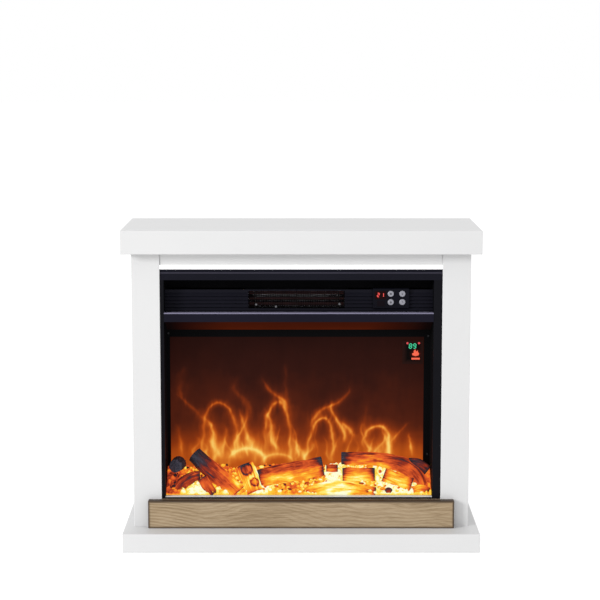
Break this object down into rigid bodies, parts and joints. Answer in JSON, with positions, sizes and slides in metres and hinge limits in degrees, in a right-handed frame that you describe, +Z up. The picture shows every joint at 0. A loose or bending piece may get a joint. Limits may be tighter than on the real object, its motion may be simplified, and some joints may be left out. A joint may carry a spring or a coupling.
{
  "type": "electric fireplace",
  "caption": "Free-standing electric fireplace: white board surround, oak plinth board and black steel insert with flame screen, log bed, fan heater and push buttons.",
  "frame": {"origin": "on the floor, under the centre of the overall box", "axes": "+X to the right seen from the front, +Y to the back (the front looks along -Y), +Z up"},
  "size_m": [0.76, 0.3, 0.6855],
  "materials": {
    "white_lacquer": "satin white lacquer on fibreboard",
    "bright_trim": "gloss white",
    "oak": "light oak, wavy grain, dark edges",
    "raw_board": "raw fibreboard",
    "white_plastic": "matt",
    "glide_plastic": "matt grey",
    "zinc_steel": "zinc plated",
    "galvanised_case": "matt black paint",
    "black_enamel": "satin black powder coat",
    "sill_metal": "satin",
    "hood_paint": "dark brown black, lit orange",
    "mesh_wire": "dark wire",
    "screen_plastic": "translucent flame screen",
    "status_glass": "black display",
    "hot_element": "dull red hot sheath",
    "mica": "matt insulator",
    "black_plastic": "fine texture",
    "blower_plastic": "mill finish",
    "bush_brass": "sintered bronze",
    "foil": "mirror foil",
    "circuit_board": "solder mask",
    "lens": "dark red window",
    "ir_lens": "dark infrared window",
    "button_silver": "silver paint",
    "ember": "translucent glowing ember bed",
    "log_resin": "charred glowing log"
  },
  "bodies": {
    "fireplace": {"mantel_shelf": "white_lacquer", "left_leg": "white_lacquer", "right_leg": "white_lacquer", "hearth_base": "white_lacquer", "frieze_rail": "white_lacquer", "opening_trim_strip": "bright_trim", "plinth_board": "oak", "plinth_shelf": "raw_board", "plinth_rails": "raw_board", "rear_stretcher": "raw_board", "joint_blocks": "white_plastic", "glide_feet": "glide_plastic", "wall_brackets": "zinc_steel", "heater_duct": "zinc_steel", "blower_scroll": "zinc_steel", "rear_cover_screws": "zinc_steel", "front_screws": "zinc_steel", "thermal_cutout": "zinc_steel", "case_shell": "galvanised_case", "rear_cover": "galvanised_case", "divider_shelf": "galvanised_case", "air_baffle": "galvanised_case", "flame_stencil": "galvanised_case", "front_frame": "black_enamel", "top_bezel": "black_enamel", "crossbar": "black_enamel", "louvre_panel": "black_enamel", "screen_frame": "black_enamel", "sill_trim": "sill_metal", "hood_panel": "hood_paint", "heater_mesh": "mesh_wire", "flame_screen": "screen_plastic", "status_display": "status_glass", "heating_element": "hot_element", "element_supports": "mica", "control_panel": "black_plastic", "blower_motor": "black_plastic", "flame_motor": "black_plastic", "cable_gland": "black_plastic", "shaft_bushes": "bush_brass", "flame_light_board": "circuit_board", "ember_light_board": "circuit_board", "control_board": "circuit_board", "power_board": "circuit_board", "display_lens": "lens", "ir_window": "ir_lens", "ember_bed": "ember", "left_round_log": "log_resin", "diagonal_log": "log_resin", "knot_log": "log_resin", "centre_log": "log_resin", "front_log": "log_resin", "rear_right_log": "log_resin", "log_pieces": "log_resin"},
    "blower_wheel": {"blower_wheel": "blower_plastic"},
    "flame_rotor": {"flame_rotor": "foil"},
    "power_button": {"power_button": "button_silver"},
    "heat_button": {"heat_button": "button_silver"},
    "flame_button": {"flame_button": "button_silver"},
    "timer_button": {"timer_button": "button_silver"}
  },
  "joints": [
    {"name": "power_button_press", "type": "slide", "parent": "fireplace", "child": "power_button", "axis": [0, 1, 0], "range_m": [0, 0.0012], "stiffness_N_per_m": 600},
    {"name": "heat_button_press", "type": "slide", "parent": "fireplace", "child": "heat_button", "axis": [0, 1, 0], "range_m": [0, 0.0012], "stiffness_N_per_m": 600},
    {"name": "flame_button_press", "type": "slide", "parent": "fireplace", "child": "flame_button", "axis": [0, 1, 0], "range_m": [0, 0.0012], "stiffness_N_per_m": 600},
    {"name": "timer_button_press", "type": "slide", "parent": "fireplace", "child": "timer_button", "axis": [0, 1, 0], "range_m": [0, 0.0012], "stiffness_N_per_m": 600},
    {"name": "blower_spin", "type": "hinge", "parent": "fireplace", "child": "blower_wheel", "pos_m": [0, 0.018, 0.54], "axis": [1, 0, 0], "continuous": true},
    {"name": "rotor_spin", "type": "hinge", "parent": "fireplace", "child": "flame_rotor", "pos_m": [0, 0.062, 0.15], "axis": [1, 0, 0], "continuous": true}
  ]
}
